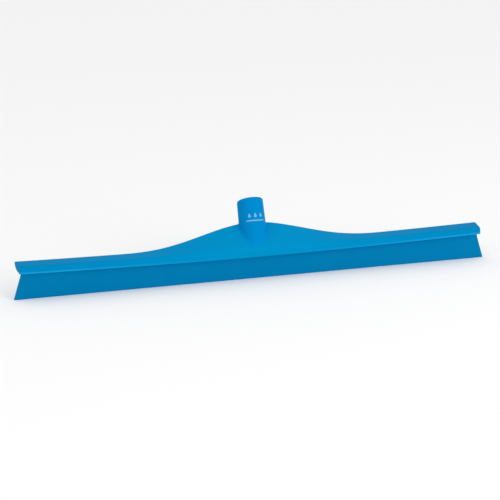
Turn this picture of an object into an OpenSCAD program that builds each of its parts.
// One-piece floor squeegee head: a moulded plastic frame with a handle socket,
// and a full-width rubber blade anchored in its underside.
//
// The dimensions below are measured with the head standing on its wiping edge:
// X runs along the blade, Y points back towards the handle, Z is up.
// Every piece is then moved so that the origin sits at the centre of the
// socket's mouth, which is where a handle screws in.

/* [Blade] */
// Length of the wiping edge
edge_len = 600; // [500:10:700]
// Distance that each end of the blade slopes in on the way up to the frame
flare = 10; // [2:0.5:15]
// Height of blade that shows below the middle of the frame
blade_h = 27.5; // [25:0.1:29]
// Thickness of the blade where it bends
blade_t = 4; // [3:0.1:5]
// Thickness of the blade at the wiping edge
edge_t = 3; // [1.5:0.1:3]

/* [Frame] */
// Distance that the frame stops short of each end of the wiping edge
frame_inset = 6.5; // [2:0.5:8]
// Distance of the front lip ahead of the blade
lip_y = 7.2; // [6:0.1:9]
// Height of the steep front face above the lip
front_h = 9.8; // [9:0.1:11]
// Rise of the underside from the middle to the two tips
lip_bow = 4.4; // [0:0.1:5]
// Distance of the back edge behind the blade, out on the wings
wing_y = 14.6; // [13:0.1:18]
// Height of the back edge in the middle, before the hump is added
wing_z = 39.4; // [38.5:0.1:42]
// Rise of the deck from the middle to the two tips
tip_rise = 3.2; // [2:0.1:6]
// Distance that the back of each tip stands out past its front
tip_rake = 2; // [0:0.1:3]

/* [Hump] */
// Distance of the ridge behind the blade at the socket
ridge_y = 27.4; // [24:0.1:32]
// Height of the ridge above the wiping edge at the socket
ridge_z = 64; // [58:0.1:68]
// Distance from the middle to where the ridge has run out into the wings
hump_reach = 171; // [120:1:220]
// How sharply the ridge leaves the socket
hump_power = 1.5; // [1:0.1:2]

/* [Handle socket] */
// Angle that the handle leans back from the blade
lean = 20; // [15:1:30]
// Distance along the handle's axis from the wiping edge to the socket's mouth
mouth_dist = 95.8; // [92:0.1:105]
// Radius of the socket at its mouth
socket_r = 16; // [15:0.1:18]
// Radius of the socket where it runs into the frame
socket_base_r = 17; // [15:0.1:19]
// Distance along the handle's axis from the wiping edge to where the foot rounds off
foot_dist = 42; // [40:0.5:46]
// Rounding of the foot
foot_r = 8; // [4:0.5:12]
// Rounding of the rim
rim_r = 3; // [1:0.1:3.8]
// Radius of the hole at the crests of its handle thread
bore_r = 10.5; // [9:0.1:11.5]
// Depth of the hole
bore_depth = 42; // [30:1:42]

/* [Hidden] */
$fn = 64;
blue = [0, 0.54, 0.80];
deep_blue = [0, 0.46, 0.70];

blade_top_len = edge_len - 2 * flare;
frame_len = edge_len - 2 * frame_inset;
// The blade bends about a line just under the frame
bend_gap = 0.4;
bend_z = blade_h - blade_t / 2 - 0.7;
// Rubber held inside the frame: a neck that reaches past the highest part of
// the underside, and a wider head
root_neck_h = lip_bow + 1.6;
root_head_h = 2;
root_head_t = blade_t + 2;
socket_len = mouth_dist - foot_dist;
mouth = [0, mouth_dist * sin(lean), mouth_dist * cos(lean)];
heel_y = blade_t / 2 + 1.4;
heel_lift = 0.8;
stations = 44;
corner_steps = 4;
back_steps = 4;

// Moves a piece from the wiping edge to the socket's mouth
module placed() {
    translate(-mouth) children();
}

// 1 at the middle of the hump, easing to 0 at its ends
function ease(t) = t * t * (3 - 2 * t);
function swell(x) = pow(ease(max(0, 1 - abs(x) / hump_reach)), hump_power);

// 0 in the middle of the frame and 1 at its tips
function out(x) = abs(x) / (frame_len / 2);

// Ridge of the frame, as [y, z], at a distance x along it
function ridge(x) =
    let (s = swell(x))
    [wing_y + (ridge_y - wing_y) * s, wing_z + tip_rise * pow(out(x), 2) + (ridge_z - wing_z) * s];

// Point at t on the curve from a to c that heads for b
function bend(a, b, c, t) = a * (1 - t) * (1 - t) + b * 2 * t * (1 - t) + c * t * t;
function arc(a, b, c, steps) = [for (i = [0 : steps]) bend(a, b, c, i / steps)];

// Outline of the frame, as [y, z] points, at a distance x along it
function section(x) =
    let (
        s = swell(x),
        top = ridge(x),
        under_z = blade_h + lip_bow * pow(out(x), 1.6),
        lip = [-lip_y, under_z],
        corner = [-lip_y + 0.8, blade_h + front_h + 2 * s + tip_rise * pow(out(x), 2)],
        heel = [heel_y, under_z + heel_lift],
        face = (top - corner) / norm(top - corner),
        edge = 1.2 + 1.3 * s,
        belly = (top + heel) / 2 + [3.5 + 6 * s, -3.8 - 1.8 * s],
        fall = (belly - top) / norm(belly - top)
    )
    concat(
        [lip],
        arc(corner - [0.4, 4.2 + 0.3 * s], corner, corner + face * (5.5 + 2.5 * s), corner_steps),
        arc(top - face * edge, top, top + fall * edge, 2),
        [for (i = [1 : back_steps]) bend(top + fall * edge, belly, heel, i / back_steps)]
    );

// A point [y, z] of the outline at x, in space, with the tips raked
function raked(x, p) = [x + tip_rake * x / (frame_len / 2) * (p[0] + lip_y) / (wing_y + lip_y), p[0], p[1]];

// Solid skinned over one closed outline per station along X, with both ends
// closed by triangles that meet at the point hub, given as [y, z]
module loft(xs, outlines, hub) {
    rows = len(xs);
    cols = len(outlines[0]);
    skin = [for (i = [0 : rows - 1]) for (p = outlines[i]) raked(xs[i], p)];
    hubs = [for (x = [xs[0], xs[rows - 1]]) raked(x, hub)];
    first_hub = len(skin);
    end = (rows - 1) * cols;
    sides = [
        for (i = [0 : rows - 2]) for (j = [0 : cols - 1])
            let (k = (j + 1) % cols, a = i * cols, b = (i + 1) * cols)
            each [[a + j, b + k, b + j], [a + j, a + k, b + k]]
    ];
    ends = [
        for (j = [0 : cols - 1])
            let (k = (j + 1) % cols)
            each [[k, j, first_hub], [end + j, end + k, first_hub + 1]]
    ];
    polyhedron(concat(skin, hubs), concat(sides, ends), convexity = 6);
}

// Wings and hump
module beam() {
    xs = [for (i = [0 : stations]) (i / stations - 0.5) * frame_len];
    loft(xs, [for (x = xs) section(x)], [0, blade_h + lip_bow + front_h / 3]);
}

// Cylinder end of radius r at height 0, rounded by edge_r and facing down
module rounded_end(r, edge_r) {
    rotate_extrude() translate([r - edge_r, 0]) circle(r = edge_r);
    translate([0, 0, -edge_r]) cylinder(h = edge_r, r = r - edge_r);
}

// Handle socket, drawn with its mouth at the origin and its axis along Z
module socket_shell() {
    translate([0, 0, -socket_len]) {
        cylinder(h = socket_len - rim_r, r1 = socket_base_r, r2 = socket_r);
        rounded_end(socket_base_r, foot_r);
    }
    translate([0, 0, -rim_r]) mirror([0, 0, 1]) rounded_end(socket_r, rim_r);
}

module socket_bore() {
    translate([0, 0, -bore_depth]) cylinder(h = bore_depth + 1, r = bore_r);
}

// Puts the socket's own Z axis on the handle's axis
module on_handle_axis() {
    translate(mouth) rotate([-lean, 0, 0]) children();
}

// Cross-section of the rubber inside the frame, as Y across and Z up
module root_outline() {
    neck_z = blade_h - bend_gap + 0.1;
    translate([-blade_t / 2, neck_z]) square([blade_t, root_neck_h]);
    translate([-root_head_t / 2, neck_z + root_neck_h]) square([root_head_t, root_head_h]);
}

// Stretches a Y-Z outline along X
module along_x(length) {
    translate([-length / 2, 0, 0]) rotate([90, 0, 90]) linear_extrude(height = length) children();
}

// Moulded plastic frame: wings, hump and handle socket in one piece
module frame() {
    color(blue) placed() difference() {
        union() {
            beam();
            on_handle_axis() socket_shell();
        }
        on_handle_axis() socket_bore();
        along_x(blade_top_len) root_outline();
    }
}

// Rubber moulded into the underside of the frame
module blade_root() {
    color(deep_blue) placed() along_x(blade_top_len) root_outline();
}

// Rubber below the frame, which bends as the head is pulled or pushed
module blade_lip() {
    waist_z = blade_h + lip_bow;
    color(deep_blue) placed() intersection() {
        along_x(edge_len) {
            translate([0, bend_z]) circle(d = blade_t);
            polygon([[-edge_t / 2, 0], [edge_t / 2, 0], [blade_t / 2, bend_z], [-blade_t / 2, bend_z]]);
        }
        translate([0, blade_t, 0]) rotate([90, 0, 0]) linear_extrude(height = 2 * blade_t)
            polygon([
                [-edge_len / 2, 0],
                [edge_len / 2, 0],
                [blade_top_len / 2, waist_z],
                [-blade_top_len / 2, waist_z]
            ]);
    }
}

frame();
blade_root();
blade_lip();
